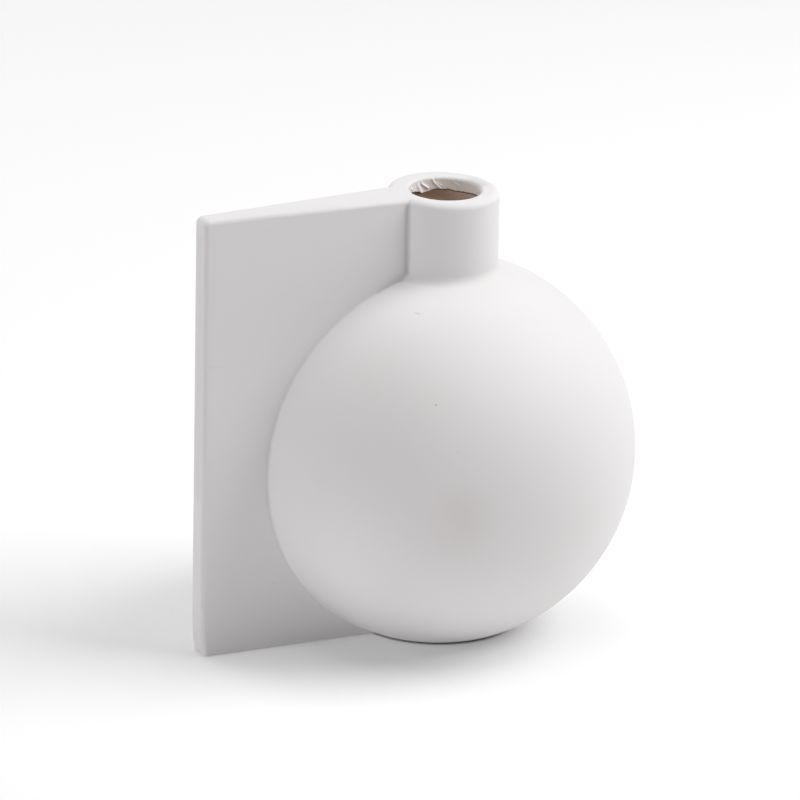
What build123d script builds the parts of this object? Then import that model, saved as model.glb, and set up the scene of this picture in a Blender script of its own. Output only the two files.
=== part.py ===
from build123d import *
import math
import os

# A free-standing ceramic vase: a hollow ball on a small flat foot, a round neck on top of it, and one
# hollow tapered slab that stands out to the left, as tall as the whole vase.
# The origin is on the table under the middle of the ball. +Z is up, the slab reaches towards -X, and the
# front of the vase looks towards -Y. All sizes are in millimetres and angles in degrees.

# Ball
BALL_RADIUS = 80.0
BALL_WALL = 6.0
BALL_FLOOR = 8.0
SEAM_DROP = 4.0

# Foot and its felt pad
FOOT_RADIUS = 32.8
FOOT_LIFT = 0.8
FOOT_RING_WIDTH = 2.3
PAD_RECESS = 1.0
PAD_SIDE_GAP = 0.3

# Neck
MOUTH_RADIUS = 15.5
NECK_WALL = 7.2
NECK_RISE = 30.3
NECK_ROOT_ROUND = 4.0
SPIGOT_WALL = 3.2
RIM_OUTER_ROUND = 3.0
RIM_INNER_ROUND = 2.0
RIM_ROUND_SWEEP = 75.0

# Slab: the hollow between its two face walls is widest at the neck's axis and narrows to the outer end
SLAB_STANDOUT = 27.8
SLAB_WALL = 4.0
SLAB_HOLLOW_ROOT = 13.3
SLAB_HOLLOW_END = 2.1
SLAB_STRIP_DEPTH = 7.0
SLAB_EDGE_ROUND = 2.0
SLAB_CORNER_EASE = 1.5

# The slab's outer end leans in above the table, in a long curve with a small rounded corner below it
HEEL_HEIGHT = 14.0
HEEL_ROUND = 68.0
HEEL_CORNER_EASE = 0.2

# Bead of slip that is wiped into the seam between the slab and the vessel
BEAD_SIZE = 1.6

# Room added to a cutting shape so that it passes right through what it cuts
CUT_MARGIN = 5.0

# Heights above the table and radii that follow from these sizes
INNER_RADIUS = BALL_RADIUS - BALL_WALL
BALL_HEIGHT = FOOT_LIFT + math.sqrt(BALL_RADIUS**2 - FOOT_RADIUS**2)
RIM_HEIGHT = BALL_HEIGHT + BALL_RADIUS + NECK_RISE
NECK_RADIUS = MOUTH_RADIUS + NECK_WALL
SPIGOT_RADIUS = MOUTH_RADIUS + SPIGOT_WALL
SLAB_REACH = BALL_RADIUS + SLAB_STANDOUT
SLAB_ROUND = min(SLAB_EDGE_ROUND, 0.9 * SLAB_WALL)


def at(radius, height):
    """A point of a profile in the XZ plane."""
    return Vector(radius, 0, height)


def arc_about(centre, start, end):
    """The shorter arc from start to end round a centre."""
    half_way = (start - centre).normalized() + (end - centre).normalized()
    middle = centre + half_way.normalized() * (start - centre).length
    return ThreePointArc(start, middle, end)


def turned(edges):
    """The solid that a closed profile sweeps when it turns round the vertical axis."""
    return revolve(make_face(edges), axis=Axis.Z)


def above_middle(sphere_radius, radius):
    """The point of a sphere round the ball's centre at a radius from the axis, in the upper half."""
    return at(radius, BALL_HEIGHT + math.sqrt(sphere_radius**2 - radius**2))


def at_height(sphere_radius, height):
    """The point of a sphere round the ball's centre at a height above the table."""
    return at(math.sqrt(sphere_radius**2 - (height - BALL_HEIGHT) ** 2), height)


BALL_CENTRE = at(0, BALL_HEIGHT)

# The two halves of the ball meet at the middle in a seam that slopes down towards the inside
SEAM_OUTER = at(BALL_RADIUS, BALL_HEIGHT)
SEAM_INNER = at_height(INNER_RADIUS, BALL_HEIGHT - SEAM_DROP)


def ball_lower_bowl():
    """The lower half of the ball, with its flat foot, the recess for the pad and a flat floor inside."""
    recess_radius = FOOT_RADIUS - FOOT_RING_WIDTH
    recess_height = FOOT_LIFT + PAD_RECESS
    floor_height = FOOT_LIFT + BALL_FLOOR
    foot_edge = at(FOOT_RADIUS, FOOT_LIFT)
    floor_edge = at_height(INNER_RADIUS, floor_height)
    foot = Polyline(
        foot_edge,
        at(recess_radius, FOOT_LIFT),
        at(recess_radius, recess_height),
        at(0, recess_height),
        at(0, floor_height),
        floor_edge,
    )
    outside = arc_about(BALL_CENTRE, SEAM_OUTER, foot_edge)
    inside = arc_about(BALL_CENTRE, floor_edge, SEAM_INNER)
    return turned([outside, foot, inside, Line(SEAM_INNER, SEAM_OUTER)])


def ball_upper_dome():
    """The upper half of the ball, with the round hole that takes the neck's spigot."""
    hole_outside = above_middle(BALL_RADIUS, SPIGOT_RADIUS)
    hole_inside = above_middle(INNER_RADIUS, SPIGOT_RADIUS)
    outside = arc_about(BALL_CENTRE, SEAM_OUTER, hole_outside)
    inside = arc_about(BALL_CENTRE, hole_inside, SEAM_INNER)
    return turned([outside, Line(hole_outside, hole_inside), inside, Line(SEAM_INNER, SEAM_OUTER)])


def foot_pad():
    """The felt disc in the foot's recess, which stands proud of the foot and carries the ball."""
    pad_radius = FOOT_RADIUS - FOOT_RING_WIDTH - PAD_SIDE_GAP
    thickness = FOOT_LIFT + PAD_RECESS
    return Pos(0, 0, thickness / 2) * Cylinder(pad_radius, thickness)


# The neck runs out on the ball in a hollow curve, between these two points
ROOT_CENTRE = above_middle(BALL_RADIUS + NECK_ROOT_ROUND, NECK_RADIUS + NECK_ROOT_ROUND)
ROOT_ON_NECK = at(NECK_RADIUS, ROOT_CENTRE.Z)
ROOT_ON_BALL = BALL_CENTRE + (ROOT_CENTRE - BALL_CENTRE).normalized() * BALL_RADIUS


def rim_corner(wall_radius, rounding, outwards):
    """A rounded corner of the rim: its end on the wall, its end on the flat of the rim and its centre."""
    sweep_angle = math.radians(RIM_ROUND_SWEEP)
    centre = at(wall_radius - outwards * rounding, RIM_HEIGHT - rounding * math.sin(sweep_angle))
    on_flat = at(centre.X + outwards * rounding * math.cos(sweep_angle), RIM_HEIGHT)
    return at(wall_radius, centre.Z), on_flat, centre


def neck_outside():
    """The outside of the neck, from the ball up to the flat of the rim, and the point where it ends."""
    on_wall, on_flat, centre = rim_corner(NECK_RADIUS, RIM_OUTER_ROUND, 1)
    root = arc_about(ROOT_CENTRE, ROOT_ON_BALL, ROOT_ON_NECK)
    return [root, Line(ROOT_ON_NECK, on_wall), arc_about(centre, on_wall, on_flat)], on_flat


def neck_collar():
    """The neck: a tube with a rounded rim, a seat that lies on the ball and a spigot that goes into it."""
    spigot_end = above_middle(INNER_RADIUS, SPIGOT_RADIUS)
    spigot_top = above_middle(BALL_RADIUS, SPIGOT_RADIUS)
    outside, rim_edge = neck_outside()
    mouth_wall, mouth_edge, mouth_centre = rim_corner(MOUTH_RADIUS, RIM_INNER_ROUND, -1)
    bore = Polyline(mouth_wall, at(MOUTH_RADIUS, spigot_end.Z), spigot_end, spigot_top)
    seat = arc_about(BALL_CENTRE, spigot_top, ROOT_ON_BALL)
    lip = arc_about(mouth_centre, mouth_edge, mouth_wall)
    return turned([bore, seat, *outside, Line(rim_edge, mouth_edge), lip])


def vessel_body():
    """The ball and the neck as one filled shape, which every piece of the slab is cut to."""
    bottom = at(0, BALL_HEIGHT - BALL_RADIUS)
    outside, rim_edge = neck_outside()
    above_rim = RIM_HEIGHT + CUT_MARGIN
    lower = arc_about(BALL_CENTRE, bottom, SEAM_OUTER)
    upper = arc_about(BALL_CENTRE, SEAM_OUTER, ROOT_ON_BALL)
    closing = Polyline(rim_edge, at(rim_edge.X, above_rim), at(0, above_rim), bottom)
    return turned([lower, upper, *outside, closing])


def half_hollow(x):
    """Half of the hollow's width in the slab, at a place that is negative to the left of the axis."""
    share = -x / SLAB_REACH
    return ((1 - share) * SLAB_HOLLOW_ROOT + share * SLAB_HOLLOW_END) / 2


def upright_block(corners, bottom, top):
    """A block with an upright outline, given by its corners in plan, between two heights."""
    outline = make_face(Polyline(*corners, close=True))
    return Pos(0, 0, bottom) * extrude(outline, amount=top - bottom, dir=(0, 0, 1))


def slab_outline():
    """The slab as it is seen from the front, as a block that goes right through it."""
    left = -SLAB_REACH
    top_corner = at(left, RIM_HEIGHT)
    heel_top = at(left, HEEL_HEIGHT)
    heel_centre = at(left + HEEL_ROUND, HEEL_HEIGHT)
    heel_corner = at(heel_centre.X - math.sqrt(HEEL_ROUND**2 - HEEL_HEIGHT**2), 0)
    heel = arc_about(heel_centre, heel_corner, heel_top)
    rest = Polyline(heel_top, top_corner, at(0, RIM_HEIGHT), at(0, 0), heel_corner)
    outline = make_face([heel, rest])
    for corner, ease in ((top_corner, SLAB_CORNER_EASE), (heel_corner, HEEL_CORNER_EASE)):
        sharp = outline.vertices().sort_by_distance(corner)[0]
        outline = fillet(sharp, SLAB_ROUND + ease)
    return extrude(outline, amount=SLAB_HOLLOW_ROOT + SLAB_WALL, both=True)


def slab_wall_block(side):
    """One face wall of the slab before it is cut to the vessel. Side is -1 in front and 1 at the back."""
    corners = []
    for x, depth in ((-SLAB_REACH, SLAB_WALL), (0, SLAB_WALL), (0, 0), (-SLAB_REACH, 0)):
        corners.append((x, side * (half_hollow(x) + depth)))
    block = upright_block(corners, 0, RIM_HEIGHT) & slab_outline()
    face = max(block.faces(), key=lambda face: side * face.normal_at().Y)
    rim = face.edges().sort_by(Axis.X)[:-1]
    return fillet(rim, SLAB_ROUND)


def slab_core_block(left, right, bottom, top):
    """A block that fills the hollow between the two face walls of the slab."""
    corners = []
    for x, side in ((left, -1), (right, -1), (right, 1), (left, 1)):
        corners.append((x, side * half_hollow(x)))
    return upright_block(corners, bottom, top)


def slab_pieces(vessel):
    """The five pieces of the slab, cut to the vessel."""
    inner_end = SLAB_STRIP_DEPTH - SLAB_REACH
    end_strip = slab_core_block(-SLAB_REACH, inner_end, 0, RIM_HEIGHT)
    top_strip = slab_core_block(inner_end, 0, RIM_HEIGHT - SLAB_STRIP_DEPTH, RIM_HEIGHT)
    bottom_strip = slab_core_block(inner_end, 0, 0, SLAB_STRIP_DEPTH)
    return {
        "slab_front_wall": slab_wall_block(-1) - vessel,
        "slab_back_wall": slab_wall_block(1) - vessel,
        "slab_end_strip": end_strip & slab_outline(),
        "slab_top_strip": top_strip - vessel,
        "slab_bottom_strip": bottom_strip - vessel,
    }


def seam_bead(side, vessel):
    """The bead of slip between one face of the slab and the vessel. Its own face is hollow."""
    taper = math.atan2((SLAB_HOLLOW_ROOT - SLAB_HOLLOW_END) / 2, SLAB_REACH)
    along = Vector(-math.cos(taper), -side * math.sin(taper), 0)
    outwards = Vector(-math.sin(taper), side * math.cos(taper), 0)
    axis_distance = (half_hollow(0) + SLAB_WALL) * math.cos(taper)

    def on_face(reach, height):
        return outwards * axis_distance + along * reach + Vector(0, 0, height)

    # On the slab's face the seam is a straight line at the neck, a bend at its root and a ring at the ball
    ring = math.sqrt(BALL_RADIUS**2 - axis_distance**2)
    neck_reach = math.sqrt(NECK_RADIUS**2 - axis_distance**2)
    bend_reach = neck_reach + NECK_ROOT_ROUND
    bend_rise = math.sqrt((ring + NECK_ROOT_ROUND) ** 2 - bend_reach**2)
    ring_share = ring / (ring + NECK_ROOT_ROUND)
    foot_reach = math.sqrt(ring**2 - (BALL_HEIGHT - SLAB_ROUND) ** 2)
    top = on_face(neck_reach, RIM_HEIGHT - SLAB_ROUND)
    bend_top = on_face(neck_reach, BALL_HEIGHT + bend_rise)
    bend_end = on_face(bend_reach * ring_share, BALL_HEIGHT + bend_rise * ring_share)
    bend_centre = on_face(bend_reach, BALL_HEIGHT + bend_rise)
    ring_centre = on_face(0, BALL_HEIGHT)
    widest = on_face(ring, BALL_HEIGHT)
    path = Wire(
        [
            Line(top, bend_top),
            arc_about(bend_centre, bend_top, bend_end),
            arc_about(ring_centre, bend_end, widest),
            arc_about(ring_centre, widest, on_face(foot_reach, SLAB_ROUND)),
        ]
    )

    def in_section(along_slab, off_face):
        return top + along * (along_slab * BEAD_SIZE) + outwards * (off_face * BEAD_SIZE)

    # The section reaches a full bead's size into the slab and the vessel, and is then cut back to them
    hollow = ThreePointArc(in_section(1, 0), in_section(1 / 3, 1 / 3), in_section(-1 / 3, 1))
    buried = Polyline(
        in_section(-1 / 3, 1),
        in_section(-1, 1),
        in_section(-1, -1),
        in_section(1, -1),
        in_section(1, 0),
    )
    bead = sweep(make_face([hollow, buried]), path=path)
    return bead - vessel - slab_wall_block(side)


def all_pieces():
    """Every piece of the vase by name."""
    vessel = vessel_body()
    return {
        "ball_lower_bowl": ball_lower_bowl(),
        "ball_upper_dome": ball_upper_dome(),
        "neck_collar": neck_collar(),
        **slab_pieces(vessel),
        "seam_bead_front": seam_bead(-1, vessel),
        "seam_bead_back": seam_bead(1, vessel),
        "foot_pad": foot_pad(),
    }


os.makedirs("parts", exist_ok=True)
for name, piece in all_pieces().items():
    export_step(piece, f"parts/{name}.step")
    print(name, round(piece.volume), "mm3")
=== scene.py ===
import math

import bmesh
import bpy
import numpy as np
from bpy.props import FloatProperty, FloatVectorProperty, IntProperty, PointerProperty
from bpy.types import Operator, Panel, PropertyGroup
from mathutils import Matrix, Vector


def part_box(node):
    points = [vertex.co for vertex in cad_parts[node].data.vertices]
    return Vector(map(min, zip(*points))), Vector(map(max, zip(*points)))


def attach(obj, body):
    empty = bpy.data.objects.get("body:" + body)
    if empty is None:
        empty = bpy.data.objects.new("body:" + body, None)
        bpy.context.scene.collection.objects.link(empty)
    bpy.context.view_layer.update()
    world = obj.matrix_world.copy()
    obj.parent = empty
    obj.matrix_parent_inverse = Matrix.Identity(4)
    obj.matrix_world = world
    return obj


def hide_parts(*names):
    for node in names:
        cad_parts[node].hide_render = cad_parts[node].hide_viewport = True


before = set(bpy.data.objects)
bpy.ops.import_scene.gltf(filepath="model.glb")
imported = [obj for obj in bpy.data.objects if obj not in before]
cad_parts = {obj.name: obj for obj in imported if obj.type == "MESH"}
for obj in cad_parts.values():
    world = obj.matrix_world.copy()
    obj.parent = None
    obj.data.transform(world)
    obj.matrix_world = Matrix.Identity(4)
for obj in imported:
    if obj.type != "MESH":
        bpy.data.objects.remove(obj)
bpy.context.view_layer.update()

bl_info = {
    "name": "Ball vase with a side slab",
    "version": (1, 0, 0),
    "blender": (4, 5, 0),
    "location": "3D View > Sidebar > Vase",
    "description": "Dresses the packed vase: white coat, bare clay, felt pad, stage and camera",
    "category": "Object",
}

BODY = "root"
MM = 0.001

# Corners of a mesh that lie this close together, in metres, are one corner
MERGE_GAP = 0.5e-6

# Edges that bend by less than this many degrees are shaded smooth, unless a piece says otherwise
SMOOTH_ANGLE = 35

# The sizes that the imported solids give: the bowl's seam ring, the rim and the slab's outer end
BOWL_LOW, BOWL_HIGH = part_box("ball_lower_bowl")
NECK_LOW, NECK_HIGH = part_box("neck_collar")
PAD_LOW, PAD_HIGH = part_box("foot_pad")
END_LOW, END_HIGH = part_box("slab_end_strip")


def length(label, description, default):
    """A size in metres that a user may change."""
    return FloatProperty(
        name=label, description=description, default=default, min=0, unit="LENGTH", precision=5
    )


def colour(label, description, default):
    """A colour that a user may change."""
    return FloatVectorProperty(
        name=label, description=description, default=default, min=0, max=1, size=3, subtype="COLOR"
    )


def amount(label, description, default, highest=10000.0):
    """A plain number that a user may change."""
    return FloatProperty(name=label, description=description, default=default, min=0, max=highest)


class VaseSizes(PropertyGroup):
    """Sizes of the vase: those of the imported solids, and the roundings, bead and coat that the looks add."""

    ball_radius: length("Ball radius", "Outside of the ball", BOWL_HIGH.x)
    ball_height: length("Ball height", "Middle of the ball above the table", BOWL_HIGH.z)
    ball_wall: length("Ball wall", "Thickness of the ball's wall", 6 * MM)
    ball_floor: length("Ball floor", "Thickness of the ball's floor", 8 * MM)
    seam_drop: length("Seam drop", "How far the ball's seam slopes down to the inside", 4 * MM)
    foot_radius: length("Foot radius", "Where the ball is cut flat", 32.8 * MM)
    foot_lift: length("Foot lift", "Height of the foot above the table", BOWL_LOW.z)
    foot_ring: length("Foot ring", "Width of the ring round the pad's recess", 2.3 * MM)
    foot_edge_round: length("Foot edge round", "Rounding between ball and foot", 0.8 * MM)
    pad_radius: length("Pad radius", "Radius of the felt pad", PAD_HIGH.x)
    pad_top: length("Pad top", "Height of the felt pad's upper face", PAD_HIGH.z)
    pad_edge_round: length("Pad edge round", "Rounding of the felt pad's lower edge", 0.2 * MM)
    mouth_radius: length("Mouth radius", "Bore of the neck", 15.5 * MM)
    neck_wall: length("Neck wall", "Thickness of the neck", 7.2 * MM)
    rim_height: length("Rim height", "Height of the rim and of the slab's top", NECK_HIGH.z)
    root_round: length("Root round", "Hollow rounding between neck and ball", 4 * MM)
    spigot_wall: length("Spigot wall", "Thickness of the neck's spigot in the ball", 3.2 * MM)
    rim_outer_round: length("Rim outer round", "Rounding of the rim's outer edge", 3 * MM)
    rim_inner_round: length("Rim inner round", "Rounding of the rim's inner edge", 2 * MM)
    rim_dip: length("Rim dip", "How far the rim dips below level on its lower side", 0.85 * MM)
    rim_dip_side: amount("Rim dip side", "Degrees round the axis where the rim is lowest", 318.0)
    slab_reach: length("Slab reach", "From the neck's axis to the slab's outer end", -END_LOW.x)
    slab_wall: length("Slab wall", "Thickness of the slab's face walls", 4 * MM)
    hollow_root: length("Hollow at the root", "Width of the slab's hollow at the neck's axis", 13.3 * MM)
    hollow_end: length("Hollow at the end", "Width of the slab's hollow at its outer end", 2.1 * MM)
    strip_depth: length("Strip depth", "Depth of the strips that close the slab", 7 * MM)
    edge_round: length("Edge round", "Rounding round the slab's faces", 2 * MM)
    corner_round: length("Corner round", "Rounding of the slab's upper outer corner", 3 * MM)
    heel_height: length("Heel height", "Height over which the slab's outer end leans in", 14 * MM)
    heel_round: length("Heel round", "Long rounding of the slab's outer end above the table", 68 * MM)
    heel_corner_round: length("Heel corner round", "Rounding of the slab's lower outer corner", 2.2 * MM)
    bead_size: length("Bead size", "What shows of the bead of slip between slab and vessel", 0.8 * MM)
    bead_fade: length("Bead fade", "Length over which the bead runs out at its ends", 8 * MM)
    film_thickness: length("Film thickness", "Mean thickness of the coat lapped into the mouth", 0.85 * MM)
    film_thick_side: amount("Film thick side", "Degrees round the axis where that coat is thickest", 95.0)
    film_sag: amount("Film sag", "How much thicker that coat is at its torn edge, as a share", 0.6)
    film_lip_round: length("Film lip round", "Rounding of that coat's lip where it is thickest", 1 * MM)
    film_edge_round: length("Film edge round", "Rounding of that coat's torn edge", 0.55 * MM)
    # The raw band along the torn edge is darkened as painted shade
    raw_edge_shade_band: length("Raw edge", "Width of the raw band along that coat's torn edge", 0.85 * MM)
    film_seat: length("Film seat", "How deep that coat is set in the clay", 0.06 * MM)
    turn_steps: IntProperty(name="Turn steps", description="Facets round the axis", default=288, min=24)


class VaseFinish(PropertyGroup):
    """Colours and surface grain of the vase."""

    coat: colour("Coat", "Matte white coat", (0.824, 0.808, 0.810))
    coat_warm: colour("Warm coat", "Faint warm cast where the coat is thin", (0.80, 0.745, 0.725))
    # Colour of small marks, and of painted shade in the creases, along some edges and low on the ball
    dust_and_painted_shade: colour("Grime", "Dust in the creases, on worn edges and in small marks", (0.15, 0.125, 0.12))
    # Crease shade and crease reach set the painted shade in the crease beside the neck
    crease_shade: amount("Crease shade", "How much dust lies in the crease beside the neck", 0.30, 1.0)
    crease_reach: length("Crease reach", "How far that dust spreads", 2.3 * MM)
    # Lighter copy of the coat for the mouth: painted light
    mouth_coat_painted_light: colour("Mouth coat", "Cleaner and warmer coat inside the mouth", (0.93, 0.90, 0.88))
    # Raw edge of the coat in the mouth, darkened to painted shade
    torn_edge_painted_shade: colour("Torn edge", "Raw edge of the coat inside the mouth", (0.075, 0.04, 0.03))
    # Set far lighter than the clay's own tone: painted light in the shaded mouth
    clay: colour("Clay", "Bare fired clay inside", (0.95, 0.765, 0.645))
    # Colour of a darker patch on the bare clay below the mouth
    clay_dark_patch: colour("Clay stain", "Damp stain on the bare clay", (0.30, 0.20, 0.16))
    clay_speck: colour("Clay speck", "Dark specks in the bare clay", (0.10, 0.07, 0.055))
    felt: colour("Felt", "Pressed felt of the pad", (0.045, 0.042, 0.040))
    grain: length("Grain", "Height of the coat's fine grain", 0.02 * MM)


class VaseStage(PropertyGroup):
    """Floor and light round the vase."""

    floor: colour("Floor", "Plain pale floor", (0.86, 0.86, 0.86))
    floor_glow: amount("Floor glow", "Light that comes up through the floor round the foot", 0.135)
    key: amount("Key", "Power of the large light on the right, in watts", 39.5)
    top: amount("Top", "Power of the large light overhead, in watts", 24.4)
    left_fill: amount("Left fill", "Power of the low light beyond the slab's outer end, in watts", 11.9)
    back_fill: amount("Back fill", "Power of the low light behind the slab, in watts", 14.0)
    floor_drop: length("Floor drop", "Gap between the floor and the faces that stand on it", 0.02 * MM)


def eased_shares(steps):
    """Shares from 0 to 1 that lie closer together at both ends."""
    return [(1 - math.cos(math.pi * step / steps)) / 2 for step in range(steps + 1)]


def profile_arc(centre, radius, start, end, steps):
    """Points of an arc in a profile, closer together at both ends. Angles are degrees from the outside."""
    points = []
    for share in eased_shares(steps):
        angle = math.radians(start + (end - start) * share)
        points.append((centre[0] + radius * math.cos(angle), centre[1] + radius * math.sin(angle)))
    return points


# Steps along the profile of the ball, outside and inside
BALL_STEPS = 72
HOLLOW_STEPS = 48


def neck_radius(sizes):
    """Outside radius of the neck."""
    return sizes.mouth_radius + sizes.neck_wall


def root_centre(sizes):
    """Centre of the hollow rounding between neck and ball, in the profile."""
    radius = neck_radius(sizes) + sizes.root_round
    reach = sizes.ball_radius + sizes.root_round
    return radius, sizes.ball_height + math.sqrt(reach**2 - radius**2)


def vessel_radius(sizes, height):
    """Outside radius of ball and neck at a height, with the ball taken as whole below its foot."""
    centre_radius, centre_height = root_centre(sizes)
    share = sizes.ball_radius / (sizes.ball_radius + sizes.root_round)
    toe_height = sizes.ball_height + (centre_height - sizes.ball_height) * share
    rim_start = sizes.rim_height - sizes.rim_outer_round
    if height <= toe_height:
        return math.sqrt(max(sizes.ball_radius**2 - (height - sizes.ball_height) ** 2, 0))
    if height <= centre_height:
        return centre_radius - math.sqrt(max(sizes.root_round**2 - (height - centre_height) ** 2, 0))
    if height <= rim_start:
        return neck_radius(sizes)
    rise = min(height - rim_start, sizes.rim_outer_round)
    return neck_radius(sizes) - sizes.rim_outer_round + math.sqrt(sizes.rim_outer_round**2 - rise**2)


def dome_profile(sizes):
    """Closed profile of the ball's upper half. The third value is 1 where the clay is bare."""
    ball = (0, sizes.ball_height)
    inner = sizes.ball_radius - sizes.ball_wall
    hole = sizes.mouth_radius + sizes.spigot_wall
    outer_end = math.degrees(math.acos(hole / sizes.ball_radius))
    inner_end = math.degrees(math.acos(hole / inner))
    seam_end = -math.degrees(math.asin(sizes.seam_drop / inner))
    outside = [(*point, 0) for point in profile_arc(ball, sizes.ball_radius, 0, outer_end, BALL_STEPS)]
    inside = [(*point, 1) for point in profile_arc(ball, inner, inner_end, seam_end, HOLLOW_STEPS)]
    return outside + inside + outside[:1]


def bowl_profile(sizes):
    """Profile of the ball's lower half, from the axis at the floor round to the axis under the foot."""
    ball = (0, sizes.ball_height)
    inner = sizes.ball_radius - sizes.ball_wall
    floor_height = sizes.foot_lift + sizes.ball_floor
    floor_angle = -math.degrees(math.asin((sizes.ball_height - floor_height) / inner))
    seam_angle = -math.degrees(math.asin(sizes.seam_drop / inner))
    rounding = sizes.foot_edge_round
    drop = sizes.ball_height - sizes.foot_lift - rounding
    foot_angle = -math.degrees(math.asin(drop / (sizes.ball_radius - rounding)))
    edge_centre = (math.sqrt((sizes.ball_radius - rounding) ** 2 - drop**2), sizes.foot_lift + rounding)
    recess_radius = sizes.foot_radius - sizes.foot_ring
    inside = [(0, floor_height)] + profile_arc(ball, inner, floor_angle, seam_angle, HOLLOW_STEPS)
    outside = profile_arc(ball, sizes.ball_radius, 0, foot_angle, BALL_STEPS)
    outside += profile_arc(edge_centre, rounding, foot_angle, -90, steps=8)[1:]
    outside += [(recess_radius, sizes.foot_lift), (recess_radius, sizes.pad_top), (0, sizes.pad_top)]
    return [(*point, 1) for point in inside] + [(*point, 0) for point in outside]


def neck_profile(sizes):
    """Closed profile of the neck, from the seat on the ball up over the rim and down the bore."""
    ball = (0, sizes.ball_height)
    outer = neck_radius(sizes)
    spigot = sizes.mouth_radius + sizes.spigot_wall
    centre = root_centre(sizes)
    toe = math.degrees(math.atan2(centre[1] - sizes.ball_height, centre[0]))
    spigot_top = math.degrees(math.acos(spigot / sizes.ball_radius))
    spigot_end = sizes.ball_height + math.sqrt((sizes.ball_radius - sizes.ball_wall) ** 2 - spigot**2)
    outer_centre = (outer - sizes.rim_outer_round, sizes.rim_height - sizes.rim_outer_round)
    inner_centre = (sizes.mouth_radius + sizes.rim_inner_round, sizes.rim_height - sizes.rim_inner_round)
    seat = profile_arc(ball, sizes.ball_radius, spigot_top, toe, steps=8)
    outside = profile_arc(centre, sizes.root_round, toe + 180, 180, steps=16)
    outside += profile_arc(outer_centre, sizes.rim_outer_round, 0, 90, steps=20)
    outside += profile_arc(inner_centre, sizes.rim_inner_round, 90, 180, steps=16)
    bare_start = inner_centre[1] - 0.05 * MM
    bore = [(sizes.mouth_radius, bare_start), (sizes.mouth_radius, spigot_end)]
    coated = [(*point, 0) for point in seat[:-1] + outside]
    bare = [(*point, 1) for point in bore]
    return coated + bare + [(spigot, spigot_end, 0), coated[0]]


def pad_profile(sizes):
    """Profile of the felt pad, from the axis below to the axis above."""
    rounding = sizes.pad_edge_round
    edge = profile_arc((sizes.pad_radius - rounding, rounding), rounding, -90, 0, steps=8)
    points = [(0, 0)] + edge + [(sizes.pad_radius, sizes.pad_top), (0, sizes.pad_top)]
    return [(*point, 0) for point in points]


class Tree:
    """A node tree that is filled in step by step."""

    def __init__(self, tree):
        self.tree = tree
        self.column = 0

    def add(self, kind, settings=None, **inputs):
        """Adds a node. Inputs are set or linked by name, with spaces written as underscores."""
        node = self.tree.nodes.new(kind)
        node.location = (self.column, 0)
        self.column += 180
        for name, value in (settings or {}).items():
            setattr(node, name, value)
        for name, value in inputs.items():
            self.connect(node.inputs[name.replace("_", " ")], value)
        return node

    def connect(self, socket, value):
        """Links an output to a socket, or sets the socket to a plain value."""
        if isinstance(value, bpy.types.NodeSocket):
            self.tree.links.new(value, socket)
        else:
            socket.default_value = value

    def math(self, operation, first, second=0.0):
        """A Math node's result."""
        node = self.add("ShaderNodeMath", {"operation": operation})
        self.connect(node.inputs[0], first)
        self.connect(node.inputs[1], second)
        return node.outputs[0]

    def vector(self, operation, first, second):
        """A Vector Math node's result."""
        node = self.add("ShaderNodeVectorMath", {"operation": operation})
        self.connect(node.inputs[0], first)
        self.connect(node.inputs["Scale" if operation == "SCALE" else 1], second)
        return node.outputs["Value" if operation in ("DOT_PRODUCT", "DISTANCE") else "Vector"]


def new_geometry_tree(name, inputs):
    """An empty Geometry Nodes tree with a Geometry output and named inputs, and its input sockets."""
    group = bpy.data.node_groups.new(name, "GeometryNodeTree")
    group.interface.new_socket("Geometry", in_out="OUTPUT", socket_type="NodeSocketGeometry")
    for label, kind in inputs.items():
        group.interface.new_socket(label, in_out="INPUT", socket_type=kind)
    tree = Tree(group)
    sockets = tree.add("NodeGroupInput").outputs
    return tree, sockets


def close_geometry_tree(tree, geometry, material_steps, smooth_angle):
    """Merges the seams, marks edges past an angle in degrees as sharp, sets materials and ends the tree."""
    merged = tree.add("GeometryNodeMergeByDistance", Geometry=geometry, Distance=MERGE_GAP).outputs[0]
    smooth = tree.add("GeometryNodeSetShadeSmooth", Geometry=merged, Shade_Smooth=True).outputs[0]
    bend = tree.add("GeometryNodeInputMeshEdgeAngle").outputs["Unsigned Angle"]
    sharp = tree.math("GREATER_THAN", bend, math.radians(smooth_angle))
    edges = tree.add("GeometryNodeSetShadeSmooth", {"domain": "EDGE"}, Geometry=smooth, Shade_Smooth=False)
    tree.connect(edges.inputs["Selection"], sharp)
    shape = tree.add("GeometryNodeRealizeInstances", Geometry=edges.outputs[0]).outputs[0]
    for material, selection in material_steps:
        step = tree.add("GeometryNodeSetMaterial", Geometry=shape, Material=material)
        if selection is not None:
            tree.connect(step.inputs["Selection"], selection)
        shape = step.outputs[0]
    tree.add("NodeGroupOutput", Geometry=shape)


def grid_rows_and_columns(tree, columns, rows):
    """A grid whose points count up along the rows first, with each point's row and column."""
    grid = tree.add("GeometryNodeMeshGrid", Vertices_X=columns, Vertices_Y=rows).outputs["Mesh"]
    index = tree.add("GeometryNodeInputIndex").outputs[0]
    row = tree.math("MODULO", index, rows)
    column = tree.math("FLOOR", tree.math("DIVIDE", tree.math("ADD", index, 0.5), rows))
    return grid, row, column


def sample_point(tree, source, index, value, kind):
    """A value of the source's point at an index."""
    node = tree.add("GeometryNodeSampleIndex", {"data_type": kind, "domain": "POINT"}, Geometry=source)
    tree.connect(node.inputs["Value"], value)
    tree.connect(node.inputs["Index"], index)
    return node.outputs["Value"]


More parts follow.
